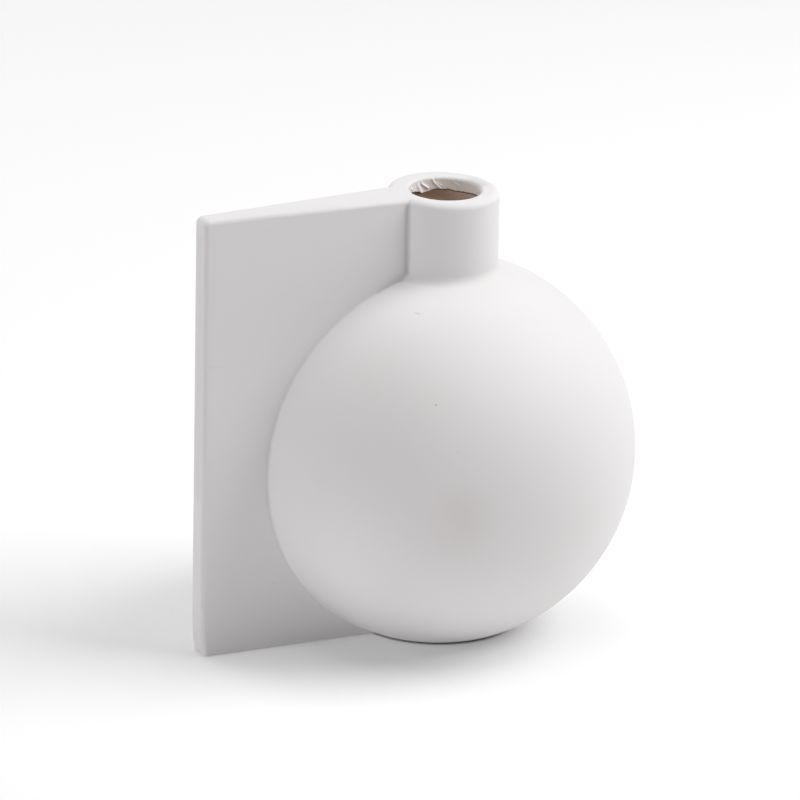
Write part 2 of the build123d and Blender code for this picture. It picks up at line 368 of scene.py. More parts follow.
def turned_piece_tree():
    """Turns a profile round the vertical axis. Profile points carry 'bare' where the clay has no coat."""
    inputs = {
        "Profile": "NodeSocketObject",
        "Steps": "NodeSocketInt",
        "Coat": "NodeSocketMaterial",
        "Clay": "NodeSocketMaterial",
    }
    tree, given = new_geometry_tree("turned_piece", inputs)
    profile = tree.add("GeometryNodeObjectInfo", Object=given["Profile"]).outputs["Geometry"]
    size = tree.add("GeometryNodeAttributeDomainSize", Geometry=profile).outputs["Point Count"]
    columns = tree.math("ADD", given["Steps"], 1.0)
    grid, row, column = grid_rows_and_columns(tree, columns, size)
    here = tree.add("GeometryNodeInputPosition").outputs[0]
    bare = tree.add("GeometryNodeInputNamedAttribute", {"data_type": "FLOAT"}, Name="bare").outputs[0]
    place = sample_point(tree, profile, row, here, "FLOAT_VECTOR")
    bare_here = sample_point(tree, profile, row, bare, "FLOAT")
    turn = tree.math("MULTIPLY", tree.math("DIVIDE", column, given["Steps"]), math.tau)
    turned = tree.add("ShaderNodeVectorRotate", {"rotation_type": "Z_AXIS"}, Vector=place, Angle=turn)
    placed = turned.outputs[0]
    kept = tree.add("GeometryNodeStoreNamedAttribute", {"data_type": "FLOAT"}, Geometry=grid, Name="bare")
    tree.connect(kept.inputs["Value"], bare_here)
    shape = tree.add("GeometryNodeSetPosition", Geometry=kept.outputs[0], Position=placed).outputs[0]
    mostly_bare = 0.75
    bare_faces = tree.math("GREATER_THAN", bare, mostly_bare)
    materials = [(given["Coat"], None), (given["Clay"], bare_faces)]
    close_geometry_tree(tree, shape, materials, SMOOTH_ANGLE)
    return tree.tree


# The lines that a bead of slip lies between, and the steps across its hollow face
BEAD_LINES = ("Slab Line", "Crease", "Vessel Line")
BEAD_STEPS = 12


def seam_bead_tree():
    """Lays a hollow-faced bead between a line on the slab and a line on the vessel, along their crease."""
    inputs = {label: "NodeSocketObject" for label in BEAD_LINES}
    inputs.update({"Section Steps": "NodeSocketInt", "Coat": "NodeSocketMaterial"})
    tree, given = new_geometry_tree("seam_bead", inputs)
    lines = []
    for label in BEAD_LINES:
        lines.append(tree.add("GeometryNodeObjectInfo", Object=given[label]).outputs["Geometry"])
    size = tree.add("GeometryNodeAttributeDomainSize", Geometry=lines[0]).outputs["Point Count"]
    rows = tree.math("ADD", given["Section Steps"], 3.0)
    grid, row, column = grid_rows_and_columns(tree, size, rows)
    here = tree.add("GeometryNodeInputPosition").outputs[0]
    slab, crease, vessel = (sample_point(tree, line, column, here, "FLOAT_VECTOR") for line in lines)
    even = tree.math("MINIMUM", tree.math("DIVIDE", row, given["Section Steps"]), 1.0)
    swing = tree.math("COSINE", tree.math("MULTIPLY", even, math.pi))
    across = tree.math("DIVIDE", tree.math("SUBTRACT", 1.0, swing), 2.0)
    back = tree.math("SUBTRACT", 1.0, across)
    first = tree.vector("SCALE", slab, tree.math("MULTIPLY", back, back))
    middle = tree.vector("SCALE", crease, tree.math("MULTIPLY", tree.math("MULTIPLY", across, back), 2.0))
    last = tree.vector("SCALE", vessel, tree.math("MULTIPLY", across, across))
    hollow = tree.vector("ADD", tree.vector("ADD", first, middle), last)
    in_crease = tree.math("COMPARE", row, tree.math("ADD", given["Section Steps"], 1.0))
    at_slab = tree.math("COMPARE", row, tree.math("ADD", given["Section Steps"], 2.0))
    place = hollow
    for chosen, point in ((in_crease, crease), (at_slab, slab)):
        switch = tree.add("GeometryNodeSwitch", {"input_type": "VECTOR"}, Switch=chosen)
        tree.connect(switch.inputs["False"], place)
        tree.connect(switch.inputs["True"], point)
        place = switch.outputs[0]
    shape = tree.add("GeometryNodeSetPosition", Geometry=grid, Position=place).outputs[0]
    close_geometry_tree(tree, shape, [(given["Coat"], None)], smooth_angle=50)
    return tree.tree


def in_scene(name, data):
    """A new object that holds a mesh, a lamp or a camera, linked to the scene."""
    thing = bpy.data.objects.new(name, data)
    bpy.context.scene.collection.objects.link(thing)
    return thing


def line_object(name, points, bare=None):
    """A helper object that holds a line of points for a tree to read."""
    mesh = bpy.data.meshes.new(name)
    mesh.from_pydata([tuple(point) for point in points], [(i, i + 1) for i in range(len(points) - 1)], [])
    if bare is not None:
        layer = mesh.attributes.new("bare", "FLOAT", "POINT")
        layer.data.foreach_set("value", bare)
    return in_scene(name, mesh)


def face_outwards(mesh):
    """Turns every face of a closed mesh outwards, once its doubled corners and empty faces are gone."""
    shortest_edge = 0.2e-6
    work = bmesh.new()
    work.from_mesh(mesh)
    bmesh.ops.remove_doubles(work, verts=work.verts, dist=MERGE_GAP)
    bmesh.ops.dissolve_degenerate(work, edges=work.edges, dist=shortest_edge)
    bmesh.ops.recalc_face_normals(work, faces=work.faces)
    work.to_mesh(mesh)
    work.free()


def piece_from_tree(name, tree, values, helpers):
    """Runs a tree with its inputs set and keeps the result as a plain mesh."""
    piece = in_scene(name, bpy.data.meshes.new(name))
    modifier = piece.modifiers.new("shape", "NODES")
    modifier.node_group = tree
    for item in tree.interface.items_tree:
        if item.in_out == "INPUT":
            modifier[item.identifier] = values[item.name]
    graph = bpy.context.evaluated_depsgraph_get()
    mesh = bpy.data.meshes.new_from_object(piece.evaluated_get(graph), depsgraph=graph)
    piece.modifiers.clear()
    piece.data = mesh
    mesh.name = name
    face_outwards(mesh)
    for helper in helpers:
        bpy.data.objects.remove(helper)
    return piece


def piece_from_faces(name, points, faces, material, smooth_angle=SMOOTH_ANGLE, inside=None):
    """A piece from points and faces. Inside, if given, is 0.5 in the mouth, where the coat is painted lighter,
    and 1 on the raw edge there, which is painted shade.
    """
    mesh = bpy.data.meshes.new(name)
    mesh.from_pydata([tuple(point) for point in points], [], faces)
    if inside is not None:
        layer = mesh.attributes.new("inside", "FLOAT", "POINT")
        layer.data.foreach_set("value", inside)
    face_outwards(mesh)
    mesh.shade_smooth()
    mesh.set_sharp_from_angle(angle=math.radians(smooth_angle))
    mesh.materials.append(material)
    return in_scene(name, mesh)


def dip_rim(mesh, sizes):
    """Lowers the rim and what touches it towards one side, because the rim isn't quite level."""
    points = np.empty(3 * len(mesh.vertices), dtype=np.float32)
    mesh.vertices.foreach_get("co", points)
    x, y, z = points.reshape(-1, 3).T
    root = root_centre(sizes)[1]
    side = math.radians(sizes.rim_dip_side)
    level_part = 0.74
    towards = (x * math.cos(side) + y * math.sin(side)) / neck_radius(sizes)
    lowered = np.clip((towards + level_part) / (1 + level_part), 0, 1)
    z -= sizes.rim_dip * lowered * np.clip((z - root) / (sizes.rim_height - root), 0, 1)
    mesh.vertices.foreach_set("co", points)
    mesh.update()


def settle(piece, slot, *nodes):
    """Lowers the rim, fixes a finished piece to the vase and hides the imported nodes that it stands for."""
    dip_rim(piece.data, bpy.context.scene.vase_sizes)
    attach(piece, BODY)
    if nodes:
        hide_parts(*nodes)
    return piece


def turned_piece(name, profile, sizes, coat, clay):
    """A piece that is turned from its profile."""
    points = [(radius, 0, height) for radius, height, bare in profile]
    helper = line_object(name + "_profile", points, [bare for radius, height, bare in profile])
    tree = bpy.data.node_groups.get("turned_piece") or turned_piece_tree()
    values = {"Profile": helper, "Steps": sizes.turn_steps, "Coat": coat, "Clay": clay}
    return piece_from_tree(name, tree, values, [helper])


def half_hollow(sizes, x):
    """Half of the hollow's width in the slab. The slab lies where x is negative."""
    share = -x / sizes.slab_reach
    return ((1 - share) * sizes.hollow_root + share * sizes.hollow_end) / 2


def on_vessel(sizes, point_at):
    """The point of a line that lies on the vessel, found by halving. The line gives a point for each x."""
    halvings = 60
    near, far = 0.0, -sizes.slab_reach
    for _ in range(halvings):
        middle = (near + far) / 2
        point = point_at(middle)
        if math.hypot(point[0], point[1]) < vessel_radius(sizes, point[2]):
            near = middle
        else:
            far = middle
    return np.array(point_at((near + far) / 2))


def seam_point(sizes, side, offset, height):
    """Where a face at an offset from the hollow's side meets the vessel, at a height."""
    return on_vessel(sizes, lambda x: (x, side * (half_hollow(sizes, x) + offset), height))


def seam_line(sizes, side, offset, bottom, top, shares):
    """Points of the seam at an offset from the hollow's side, at shares of its length from the top."""
    root = root_centre(sizes)[1]
    bend = root - 8 * MM
    undercut = 0.2 * sizes.ball_height
    spans = ((bottom, undercut, 40), (undercut, bend, 160), (bend, root, 120), (root, top, 30))
    heights = []
    for low, high, steps in spans:
        heights.extend(np.linspace(low, high, steps, endpoint=False))
    dense = np.array([seam_point(sizes, side, offset, height) for height in [*heights, top]])[::-1]
    run = np.concatenate([[0], np.cumsum(np.linalg.norm(np.diff(dense, axis=0), axis=1))])
    wanted = np.asarray(shares) * run[-1]
    return np.stack([np.interp(wanted, run, dense[:, axis]) for axis in range(3)], axis=1)


def outline_arc(centre, radius, start, end, steps):
    """Part of the slab's outline as seen from the front: places and outward directions along an arc."""
    points = []
    for angle in np.radians(np.linspace(start, end, steps + 1)):
        out = (math.cos(angle), math.sin(angle))
        points.append(((centre[0] + radius * out[0], centre[1] + radius * out[1]), out))
    return points


def end_outline(sizes):
    """The slab's outer end from above: its top corner, its heel's long curve and the corner below that."""
    corner, heel, foot = sizes.corner_round, sizes.heel_round, sizes.heel_corner_round
    upper = outline_arc((corner - sizes.slab_reach, sizes.rim_height - corner), corner, 90, 180, steps=16)
    heel_centre = (heel - sizes.slab_reach, sizes.heel_height)
    drop = sizes.heel_height - foot
    foot_centre = (heel_centre[0] - math.sqrt((heel - foot) ** 2 - drop**2), foot)
    lean = 180 + math.degrees(math.asin(drop / (heel - foot)))
    lower = outline_arc(heel_centre, heel, 180, lean, steps=12)
    lower += outline_arc(foot_centre, foot, lean, 270, steps=14)[1:]
    return upper, lower


def face_slope(sizes):
    """How far each face of the slab draws in for each unit of its length."""
    return (sizes.hollow_root - sizes.hollow_end) / (2 * sizes.slab_reach)


def wall_sections(sizes, side):
    """Points of a face wall: one closed section for each step along the slab's outline.

    A row of points lies close beside each end of the rounding, so that the flat faces stay flat in shading.
    """
    slope = face_slope(sizes)
    taper = math.atan(slope)
    face_out = np.array([-math.sin(taper), side * math.cos(taper), 0.0])
    rounding = sizes.edge_round
    face_root = sizes.hollow_root / 2 + sizes.slab_wall
    support = 0.06 * MM
    arc_steps = 14
    line_steps = 44

    def section_row(row, place, out):
        edge_out = np.array([out[0], 0.0, out[1]])
        inset = support if row == 0 else 0.0
        x = place[0] - (rounding + inset) * out[0]
        z = place[1] - (rounding + inset) * out[1]
        y = side * (face_root + x * slope - rounding / math.cos(taper))
        centre = np.array([x, y, z])
        if row <= 1:
            return centre + rounding * face_out
        if row <= arc_steps + 1:
            whole = math.acos(float(face_out @ edge_out))
            turn = whole * (row - 1) / arc_steps
            blend = (math.sin(whole - turn) * face_out + math.sin(turn) * edge_out) / math.sin(whole)
            return centre + rounding * blend
        rounded = centre + rounding * edge_out
        if row == arc_steps + 2:
            return rounded - np.array([0, side * support, 0])
        return np.array([place[0], side * half_hollow(sizes, place[0]), place[1]])

    rows = arc_steps + 4
    upper, lower = end_outline(sizes)
    outline = []
    for row in range(rows):
        start = on_vessel(sizes, lambda x: section_row(row, (x, sizes.rim_height), (0, 1)))
        end = on_vessel(sizes, lambda x: section_row(row, (x, 0.0), (0, -1)))
        line = [((x, sizes.rim_height), (0, 1)) for x in np.linspace(start[0], upper[0][0][0], line_steps)]
        line += upper[1:]
        heights = np.linspace(upper[-1][0][1], lower[0][0][1], line_steps)
        line += [((-sizes.slab_reach, height), (-1, 0)) for height in heights[1:]]
        line += lower[1:]
        line += [((x, 0.0), (0, -1)) for x in np.linspace(lower[-1][0][0], end[0], line_steps)[1:]]
        outline.append([section_row(row, place, out) for place, out in line])
    outline = np.array(outline)
    run = np.linalg.norm(np.diff(outline[1], axis=0), axis=1)
    shares = np.concatenate([[0], np.cumsum(run)]) / run.sum()
    outer_seam = seam_line(sizes, side, sizes.slab_wall, outline[1][-1][2], outline[1][0][2], shares)
    inner_seam = seam_line(sizes, side, 0.0, 0.0, sizes.rim_height, shares)
    outer_seam[0], outer_seam[-1] = outline[0][0], outline[0][-1]
    inner_seam[0], inner_seam[-1] = outline[-1][0], outline[-1][-1]
    return np.concatenate([outer_seam[None], outline, inner_seam[None]])


def loop_faces(loops, size, capped=True):
    """Faces between closed loops of points that are numbered one loop after another."""
    faces = []
    for loop in range(loops - 1):
        here, ahead = loop * size, (loop + 1) * size
        for point in range(size):
            after = (point + 1) % size
            faces.append((here + point, here + after, ahead + after, ahead + point))
    if capped:
        faces.append(tuple(range(size))[::-1])
        faces.append(tuple((loops - 1) * size + point for point in range(size)))
    return faces


def slab_wall(sizes, side, name, material):
    """One face wall of the slab."""
    sections = wall_sections(sizes, side).transpose(1, 0, 2)
    loops, size, _ = sections.shape
    return piece_from_faces(name, sections.reshape(-1, 3), loop_faces(loops, size), material)


def closing_strip(sizes, name, low, high, material):
    """The strip that closes the slab along its top or bottom, cut to the vessel."""
    slices, height_steps = 13, 16
    left = sizes.strip_depth - sizes.slab_reach
    heights = [low + (high - low) * share for share in eased_shares(height_steps)]
    points = []
    for step in range(slices):
        across = 2 * step / (slices - 1) - 1
        loop = [(left, across * half_hollow(sizes, left), low)]
        loop += [seam_point(sizes, across, 0.0, height) for height in heights]
        loop.append((left, across * half_hollow(sizes, left), high))
        points.extend(loop)
    return piece_from_faces(name, points, loop_faces(slices, len(heights) + 2), material)


def end_strip(sizes, name, material):
    """The strip that closes the slab's outer end."""
    inner = sizes.strip_depth - sizes.slab_reach
    outline = [(inner, sizes.rim_height)]
    upper, lower = end_outline(sizes)
    outline += [place for place, out in upper + lower]
    outline.append((inner, 0.0))
    points = []
    for side in (-1, 1):
        points.extend((x, side * half_hollow(sizes, x), z) for x, z in outline)
    return piece_from_faces(name, points, loop_faces(2, len(outline)), material)


def bead_lines(sizes, side):
    """The bead's line on the slab, its crease and its line on the vessel."""
    steps = 260
    shares = np.linspace(0, 1, steps)
    bottom, top = sizes.edge_round, sizes.rim_height - sizes.edge_round
    crease = seam_line(sizes, side, sizes.slab_wall, bottom, top, shares)
    ahead = np.gradient(crease, axis=0)
    run = np.concatenate([[0], np.cumsum(np.linalg.norm(np.diff(crease, axis=0), axis=1))])
    slope = face_slope(sizes)
    face_out = np.array([-slope, side, 0.0]) / math.hypot(slope, 1)
    away = np.cross(ahead, face_out)
    away /= np.linalg.norm(away, axis=1)[:, None]
    if away[0][0] > 0:
        away = -away
    fade = np.clip(np.minimum(run, run[-1] - run) / sizes.bead_fade, 0, 1)
    size = sizes.bead_size * np.sqrt(fade * (2 - fade))
    slab_line = crease + away * size[:, None]
    vessel_line = []
    for point, lift in zip(crease, size):
        vessel_line.append(seam_point(sizes, side, sizes.slab_wall + lift, point[2]))
    return slab_line, crease, vessel_line


# The coat's torn lower edge in the mouth: degrees round the axis, and depth below the rim in millimetres
TEAR_LINE = (
    (2, 5.3), (21, 5.8), (42, 6.0), (54, 5.4), (65, 5.7),
    (79, 5.4), (92, 6.2), (104, 6.5), (117, 5.3), (135, 4.7),
    (170, 5.9), (215, 5.2), (250, 6.6), (300, 5.6), (345, 5.0),
)

# Fine waves along that edge: how many go round the mouth, and their height in millimetres
TEAR_WAVES = ((37, 0.07), (61, 0.05), (113, 0.03))

# Degrees over the lip where the coat in the mouth starts, and where its colour turns to the lighter mouth
# colour, which is painted light
FILM_START = 2
MOUTH_COLOUR_START = 58
MOUTH_COLOUR_FULL = 80

# Shares: how far that coat's thickness swings about its mean, and the part of the raw band, which is painted
# shade, that fades in
FILM_SWING = 0.95
RAW_FADE = 0.3

# Folds of the torn coat: where each starts and ends, as degrees and depth, its height and its half width
COAT_FOLDS = (
    ((82, 1.6), (69, 4.4), 0.45, 0.36),
    ((75, 2.2), (66, 3.6), 0.20, 0.30),
    ((104, 2.2), (92, 4.2), 0.45, 0.50),
    ((113, 2.8), (107, 5.6), 0.40, 0.95),
    ((124, 1.8), (128, 3.2), 0.35, 0.50),
    ((136, 2.4), (131, 3.8), 0.30, 0.42),
    ((47, 1.8), (36, 3.2), 0.15, 0.40),
    ((190, 2.0), (178, 4.9), 0.40, 0.35),
    ((262, 2.4), (270, 5.4), 0.45, 0.35),
    ((318, 2.2), (310, 4.6), 0.35, 0.35),
)


def fold_height(sizes, angle, depth):
    """Height of the folds of the coat inside the mouth."""
    rise = np.zeros(np.broadcast(angle, depth).shape)
    arc_degree = sizes.mouth_radius / MM * math.pi / 180
    for (start_angle, start_depth), (end_angle, end_depth), height, half_width in COAT_FOLDS:
        along = np.array([(end_angle - start_angle) * arc_degree, end_depth - start_depth])
        across_gap = ((angle - start_angle + 180) % 360 - 180) * arc_degree
        down_gap = depth / MM - start_depth
        share = np.clip((across_gap * along[0] + down_gap * along[1]) / (along @ along), 0, 1)
        gap = np.hypot(across_gap - share * along[0], down_gap - share * along[1])
        rise = rise + height * MM * np.exp(-((gap / half_width) ** 2))
    return rise


def lip_thickness(sizes, on_lip, wall, corner):
    """Thickness of the coat over the lip, whose face is level, then rounded by the corner, then upright."""
    least = 1e-6
    lip = sizes.rim_inner_round
    sine, cosine = np.sin(on_lip), np.cos(on_lip)
    centre_x, centre_z = corner - wall - lip, lip - corner
    level = lip / np.maximum(cosine, least)
    upright = (lip + wall) / np.maximum(sine, least)
    along = cosine * centre_z - sine * centre_x
    rounded = along + np.sqrt(np.maximum(corner**2 - centre_x**2 - centre_z**2 + along**2, 0))
    inner = np.where(upright * cosine <= centre_z, upright, rounded)
    return np.where(-level * sine >= centre_x, level, inner) - lip


def mouth_film(sizes, name, material):
    """The coat where it laps over the lip into the mouth and ends in a torn edge."""
    columns, face_rows, back_rows = 720, 64, 4
    lip = sizes.rim_inner_round
    lip_run = lip * math.pi / 2
    first_run = lip * math.radians(FILM_START)
    angle = np.linspace(0, 360, columns + 1)[:, None]
    thick_side = np.cos(np.radians(angle - sizes.film_thick_side))
    wall = sizes.film_thickness * (1 + FILM_SWING * thick_side)
    corner = lip - (lip - sizes.film_lip_round) * (1 + thick_side) / 2
    tear_angle, tear_depth = np.array(TEAR_LINE).T
    tear = np.interp(angle, tear_angle, tear_depth * MM, period=360)
    for waves, height in TEAR_WAVES:
        tear = tear + height * MM * np.sin(np.radians(waves * angle + waves))
    whole_run = lip_run + tear - lip
    face = np.sin(np.linspace(0, 1, face_rows) * math.pi / 2)[None, :]
    back = np.linspace(1, 0, back_rows)[None, :]
    run = first_run + (whole_run - first_run) * np.concatenate([face, back], axis=1)
    on_lip = np.minimum(run / lip, math.pi / 2)
    radius = sizes.mouth_radius + lip - lip * np.sin(on_lip)
    height = sizes.rim_height - lip + lip * np.cos(on_lip) - np.maximum(run - lip_run, 0)
    edge = np.clip((run - whole_run) / sizes.film_edge_round + 1, 0, 1)
    sagging = wall * (1 + sizes.film_sag * run / whole_run)
    thickness = lip_thickness(sizes, on_lip, sagging, corner)
    thickness = (thickness + fold_height(sizes, angle, sizes.rim_height - height)) * np.sqrt(1 - edge**2)
    thickness[:, face_rows:] = -sizes.film_seat
    radius = radius - thickness * np.sin(on_lip)
    height = height + thickness * np.cos(on_lip)
    turn = np.radians(angle)
    points = np.stack([radius * np.cos(turn), radius * np.sin(turn), height], axis=2)
    # Painted light: the coat below the lip takes the lighter mouth colour
    colour_turn = math.radians(MOUTH_COLOUR_FULL - MOUTH_COLOUR_START)
    below_lip = np.clip((on_lip - math.radians(MOUTH_COLOUR_START)) / colour_turn, 0, 1)
    # Painted shade: the raw band along the torn edge takes the dark edge colour
    raw_shade = np.clip((run - whole_run + sizes.raw_edge_shade_band) / (RAW_FADE * sizes.raw_edge_shade_band), 0, 1)
    inside = (below_lip + raw_shade) / 2
    loops, size, _ = points.shape
    faces = loop_faces(loops, size, capped=False)
    places = points.reshape(-1, 3)
    return piece_from_faces(name, places, faces, material, smooth_angle=60, inside=inside.ravel())


def new_material(name):
    """An empty material with its shader and the piece's own coordinates."""
    material = bpy.data.materials.new(name)
    material.use_nodes = True
    material.node_tree.nodes.clear()
    tree = Tree(material.node_tree)
    shader = tree.add("ShaderNodeBsdfPrincipled")
    tree.add("ShaderNodeOutputMaterial", Surface=shader.outputs[0])
    place = tree.add("ShaderNodeTexCoord").outputs["Object"]
    return material, tree, shader, place


def noise(tree, place, scale, detail=2.0, roughness=0.5):
    """A noise pattern's strength, with its scale in repeats for each metre."""
    node = tree.add("ShaderNodeTexNoise", Vector=place, Scale=scale, Detail=detail, Roughness=roughness)
    return node.outputs[0]


def ramp(tree, value, low, high, start=0.0, end=1.0, kind="LINEAR"):
    """Maps a value from a range to another, which is 0 to 1 unless given, and holds it at both ends."""
    limits = {"From_Min": low, "From_Max": high, "To_Min": start, "To_Max": end}
    node = tree.add("ShaderNodeMapRange", {"interpolation_type": kind}, Value=value, **limits)
    return node.outputs[0]


def mix_colour(tree, share, first, second):
    """A mix of two colours."""
    node = tree.add("ShaderNodeMix", {"data_type": "RGBA"})
    tree.connect(node.inputs["Factor"], share)
    for socket, value in ((node.inputs[6], first), (node.inputs[7], second)):
        linked = isinstance(value, bpy.types.NodeSocket)
        tree.connect(socket, value if linked else (*value, 1.0))
    return node.outputs[2]


def set_inputs(shader, **values):
    """Sets a shader's sockets to plain values, with spaces written as underscores."""
    for name, value in values.items():
        shader.inputs[name.replace("_", " ")].default_value = value


def add_bump(tree, shader, height, strength, distance):
    """Gives a shader's surface its grain."""
    bump = tree.add("ShaderNodeBump", Height=height, Strength=strength, Distance=distance)
    tree.connect(shader.inputs["Normal"], bump.outputs[0])


# Small marks of the coat, and painted shade along edges, on the slab's end and low on the ball: start, end and
# reach in millimetres, and how much it darkens
COAT_MARKS_AND_SHADE = (
    ((-32.3, -60.5, 115.0), (-32.3, -60.5, 114.8), 0.55, 0.52),
    ((-26.6, -29.5, 143.2), (-25.4, -31.1, 143.0), 0.45, 0.28),
    ((-27.6, -71.1, 97.8), (-27.2, -71.3, 97.8), 0.45, 0.15),
    ((-76.5, -6.7, 27.9), (-76.5, -6.7, 27.7), 0.45, 0.26),
    ((-107.0, -5.0, 123.8), (-98.8, -5.5, 122.7), 0.50, 0.06),
    # Painted shade along the slab's front outer edge
    ((-107.2, -4.5, 180.5), (-107.2, -4.5, 20.0), 1.50, 0.06),
    # Painted shade on the slab's outer end face
    ((-107.8, 0.0, 176.0), (-107.8, 0.0, 70.0), 7.50, 0.08),
    # Painted shade along the slab's top front edge
    ((-104.0, -5.2, 183.6), (-73.0, -6.8, 183.6), 2.00, 0.15),
    ((-73.0, -6.8, 183.6), (-50.0, -8.0, 183.6), 2.00, 0.07),
    # Painted shade low on the middle of the ball
    ((-27.2, -75.2, 70.0), (-27.2, -75.2, 71.0), 22.0, 0.037),
    ((-36.0, -67.5, 52.0), (-43.0, -54.5, 34.0), 38.0, 0.065),
    ((-20.8, -9.1, 159.6), (-19.7, -11.3, 160.0), 0.50, 0.20),
    ((15.2, -1.0, 181.0), (14.6, 3.5, 180.6), 7.0, 0.30),
)

# Painted shade in the crease between slab and ball: heights in millimetres, and its strength down to the next
# height
BALL_CREASE = ((98.0, 0.06), (86.0, 0.12), (74.0, 0.12), (62.0, 0.09), (50.0, 0.05), (40.0, 0.0))

# A patch low on the ball where the coat is thin and the clay's warmth shows, given in the same way
WARM_PATCH = ((-28.0, -74.6, 72.5), (-26.0, -75.5, 66.5), 18.0, 0.60)

# A darker patch on the bare clay below the mouth, given in the same way
CLAY_DARK_PATCH = ((-8.7, 12.8, 176.5), (-6.0, 14.3, 174.0), 11.0, 0.5)


def near_line(tree, place, start, end, reach, strength):
    """A soft mark along a straight line, with its full strength on the line and none from its reach on."""
    along = Vector(end) - Vector(start)
    from_start = tree.vector("SUBTRACT", place, Vector(start))
    share = ramp(tree, tree.vector("DOT_PRODUCT", from_start, along / along.length_squared), 0.0, 1.0)
    gap = tree.vector("DISTANCE", from_start, tree.vector("SCALE", along, share))
    return ramp(tree, gap, reach, 0.0, end=strength, kind="SMOOTHSTEP")


def soft_mark(tree, place, given):
    """A soft mark that is given in millimetres."""
    start, end, reach, strength = given
    return near_line(tree, place, Vector(start) * MM, Vector(end) * MM, reach * MM, strength)


def crease_painted_shade(tree, place, sizes, finish):
    """Painted shade in the crease between slab and vessel, the same at the front and the back."""
    apart = tree.add("ShaderNodeSeparateXYZ", Vector=place).outputs
    outward = tree.math("ABSOLUTE", apart["Y"])
    mirrored = tree.add("ShaderNodeCombineXYZ", X=apart["X"], Y=outward, Z=apart["Z"]).outputs[0]
    rim = sizes.rim_height - sizes.rim_outer_round
    root = root_centre(sizes)[1]
    bend = root - 7 * MM
    stretches = [(rim, root, finish.crease_shade), (root, bend, finish.crease_shade / 3)]
    for (upper, shade), (lower, _) in zip(BALL_CREASE, BALL_CREASE[1:]):
        stretches.append((upper * MM, lower * MM, shade))
    dust_and_shade = 0.0
    for upper, lower, shade in stretches:
        start, end = (seam_point(sizes, 1, sizes.slab_wall, height) for height in (upper, lower))
        stretch = near_line(tree, mirrored, start, end, finish.crease_reach, shade)
        dust_and_shade = tree.math("MAXIMUM", dust_and_shade, stretch)
    return dust_and_shade


def coat_material(finish):
    """Matte white coat with faint warm casts, a powdery grain and small marks, with painted shade in its
    creases, along some edges and low on the ball, a lighter coat in the mouth as painted light and a dark torn
    edge there as painted shade.
    """
    material, tree, shader, place = new_material("white_coat")
    faint = 0.3
    warm = ramp(tree, noise(tree, place, scale=16.0, detail=3.0), 0.5, 0.85, end=faint)
    warm = tree.math("MAXIMUM", warm, soft_mark(tree, place, WARM_PATCH))
    base = mix_colour(tree, warm, finish.coat, finish.coat_warm)
    dust_and_shade = crease_painted_shade(tree, place, bpy.context.scene.vase_sizes, finish)
    for given in COAT_MARKS_AND_SHADE:
        dust_and_shade = tree.math("MAXIMUM", dust_and_shade, soft_mark(tree, place, given))
    dusty_and_shaded = mix_colour(tree, dust_and_shade, base, finish.dust_and_painted_shade)
    inside = tree.add("ShaderNodeAttribute", {"attribute_name": "inside"}).outputs["Fac"]
    # Painted light: a lighter copy of the coat inside the mouth
    lit_in_mouth = mix_colour(tree, ramp(tree, inside, 0.0, 0.5), dusty_and_shaded, finish.mouth_coat_painted_light)
    # Painted shade along the coat's torn edge in the mouth
    torn_edge_shaded = mix_colour(tree, ramp(tree, inside, 0.5, 1.0), lit_in_mouth, finish.torn_edge_painted_shade)
    tree.connect(shader.inputs["Base Color"], torn_edge_shaded)
    rough = ramp(tree, noise(tree, place, scale=260.0, detail=4.0), 0.0, 1.0, start=0.55, end=0.72)
    tree.connect(shader.inputs["Roughness"], rough)
    fine = noise(tree, place, scale=2600.0, detail=3.0, roughness=0.6)
    broad = tree.math("MULTIPLY", noise(tree, place, scale=150.0, detail=2.0), 1.5)
    add_bump(tree, shader, tree.math("ADD", fine, broad), strength=0.6, distance=finish.grain)
    set_inputs(shader, Specular_IOR_Level=0.35)
    return material


def clay_material(finish):
    """Bare fired clay, painted far lighter than its own tone as painted light, with sandy grain, darker specks
    and a darker patch.
    """
    material, tree, shader, place = new_material("bare_clay")
    tone = noise(tree, place, scale=120.0, detail=5.0, roughness=0.6)
    dark = [0.85 * part for part in finish.clay]
    base = mix_colour(tree, ramp(tree, tone, 0.35, 0.7), dark, finish.clay)
    darkened = mix_colour(tree, soft_mark(tree, place, CLAY_DARK_PATCH), base, finish.clay_dark_patch)
    specks = ramp(tree, noise(tree, place, scale=1400.0, detail=2.0), 0.62, 0.72, end=0.5)
    tree.connect(shader.inputs["Base Color"], mix_colour(tree, specks, darkened, finish.clay_speck))
    grain = noise(tree, place, scale=900.0, detail=4.0, roughness=0.65)
    add_bump(tree, shader, grain, strength=0.7, distance=0.15 * MM)
    set_inputs(shader, Roughness=0.85)
    return material


def felt_material(finish):
    """Dark pressed felt with short matted fibres."""
    material, tree, shader, place = new_material("pressed_felt")
    fibres = noise(tree, place, scale=1800.0, detail=6.0, roughness=0.7)
    light = [min(2.2 * part, 1.0) for part in finish.felt]
    tone = mix_colour(tree, ramp(tree, fibres, 0.3, 0.75), finish.felt, light)
    tree.connect(shader.inputs["Base Color"], tone)
    add_bump(tree, shader, fibres, strength=0.9, distance=0.2 * MM)
    set_inputs(shader, Roughness=0.95, Sheen_Weight=0.4)
    return material


def vase_material(name, make):
    """A material of the vase, made when it is first asked for."""
    return bpy.data.materials.get(name) or make(bpy.context.scene.vase_finish)


def coat():
    """The white coat's material."""
    return vase_material("white_coat", coat_material)


def clay():
    """The bare clay's material."""
    return vase_material("bare_clay", clay_material)


